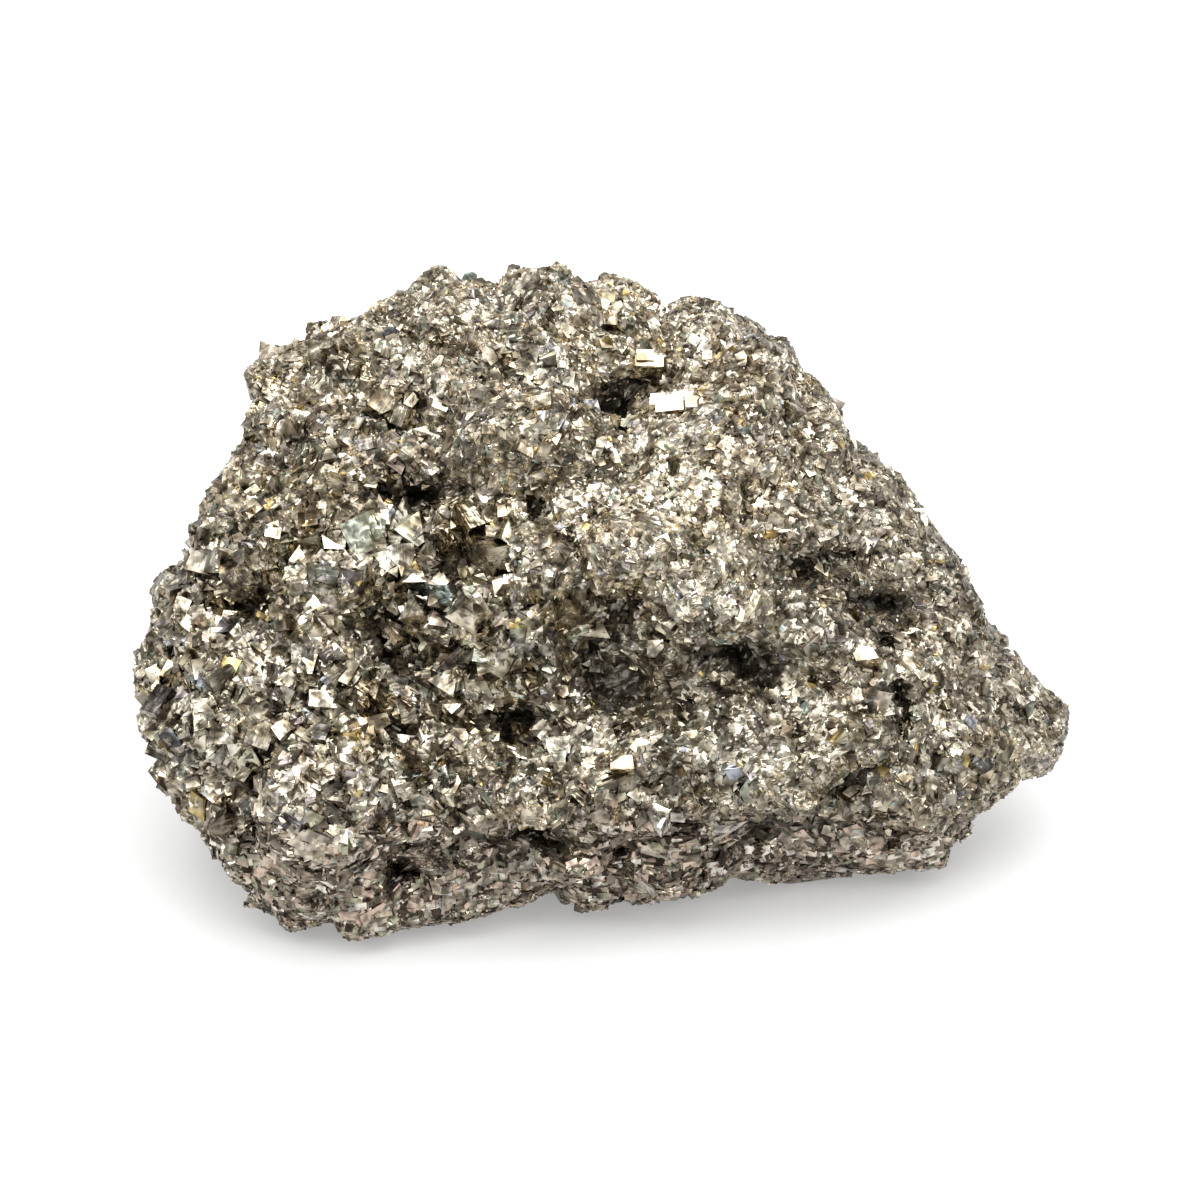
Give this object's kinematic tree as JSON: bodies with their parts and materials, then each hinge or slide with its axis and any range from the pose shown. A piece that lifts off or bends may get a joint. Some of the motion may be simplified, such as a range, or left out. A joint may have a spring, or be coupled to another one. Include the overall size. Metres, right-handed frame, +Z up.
{
  "type": "pyrite specimen",
  "caption": "Granular pyrite specimen: one lump of intergrown metallic crystals with ledges, pits and a small vug, standing on a flat underside.",
  "frame": {"origin": "the middle of the foot of the specimen's box, on the surface it stands on", "axes": "+Z up, +X towards the pointed tip, -Y towards the side that the picture shows"},
  "size_m": [0.0696, 0.0516, 0.0384],
  "materials": {
    "pyrite": "metallic crystalline, mirror-bright facets on a dull grey-brass ground"
  },
  "bodies": {
    "root": {"pyrite_cluster": "pyrite"}
  },
  "joints": []
}
